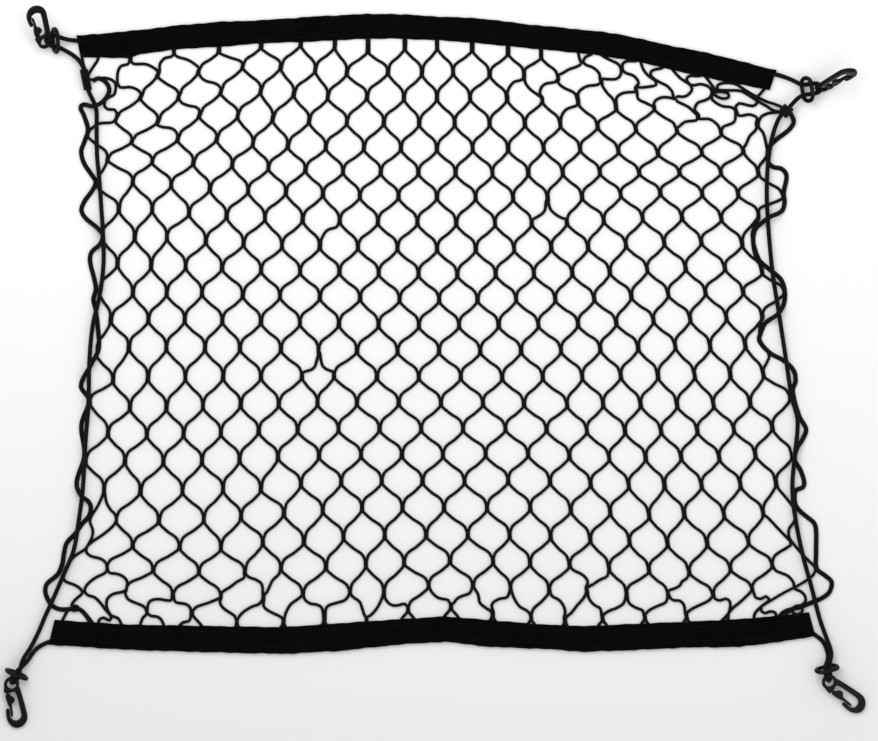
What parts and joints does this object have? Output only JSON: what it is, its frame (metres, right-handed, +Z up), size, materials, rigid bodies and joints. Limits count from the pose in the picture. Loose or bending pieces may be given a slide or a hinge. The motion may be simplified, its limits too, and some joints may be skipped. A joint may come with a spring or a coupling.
{
  "type": "elastic cargo net",
  "caption": "Flat diamond-mesh cargo net with a cloth band along two edges, elastic cord along the sides and a sprung plastic hook and keeper ring at each corner.",
  "frame": {"origin": "middle of the whole net's box, on the surface it lies on", "axes": "+X along the bands to the picture's right, +Y toward the top band, +Z up off the surface"},
  "size_m": [0.861, 0.7209, 0.0422],
  "materials": {
    "net_yarn": "matt near-black braided net yarn",
    "band_cloth": "matt deep black woven band",
    "elastic_cord": "matt near-black textile-covered elastic",
    "hook_plastic": "charcoal-black moulded plastic, soft sheen"
  },
  "bodies": {
    "netting": {"net": "net_yarn", "band_top": "band_cloth", "band_bottom": "band_cloth", "elastic_left": "elastic_cord", "elastic_right": "elastic_cord", "whipping_left": "elastic_cord", "knot_right": "elastic_cord", "hook_tl": "hook_plastic", "hook_tr": "hook_plastic", "hook_bl": "hook_plastic", "hook_br": "hook_plastic", "ring_tl": "hook_plastic", "ring_tr": "hook_plastic", "ring_bl": "hook_plastic", "ring_br": "hook_plastic"},
    "gate_tl": {"gate_tl": "hook_plastic"},
    "gate_tr": {"gate_tr": "hook_plastic"},
    "gate_bl": {"gate_bl": "hook_plastic"},
    "gate_br": {"gate_br": "hook_plastic"}
  },
  "joints": [
    {"name": "gate_tl_spring", "type": "hinge", "parent": "netting", "child": "gate_tl", "pos_m": [-0.39675, 0.33146, 0.02113], "axis": [-0.4077, 0.503, -0.7621], "range_deg": [0, 17], "stiffness_Nm_per_rad": 0.02},
    {"name": "gate_tr_spring", "type": "hinge", "parent": "netting", "child": "gate_tr", "pos_m": [0.39866, 0.28291, 0.01302], "axis": [0.1325, -0.9108, 0.3911], "range_deg": [0, 17], "stiffness_Nm_per_rad": 0.02},
    {"name": "gate_bl_spring", "type": "hinge", "parent": "netting", "child": "gate_bl", "pos_m": [-0.42648, -0.32814, 0.00768], "axis": [0.0185, -0.1692, 0.9854], "range_deg": [0, 17], "stiffness_Nm_per_rad": 0.02},
    {"name": "gate_br_spring", "type": "hinge", "parent": "netting", "child": "gate_br", "pos_m": [0.39925, -0.3254, 0.00754], "axis": [0.1233, -0.1095, 0.9863], "range_deg": [0, 17], "stiffness_Nm_per_rad": 0.02}
  ]
}
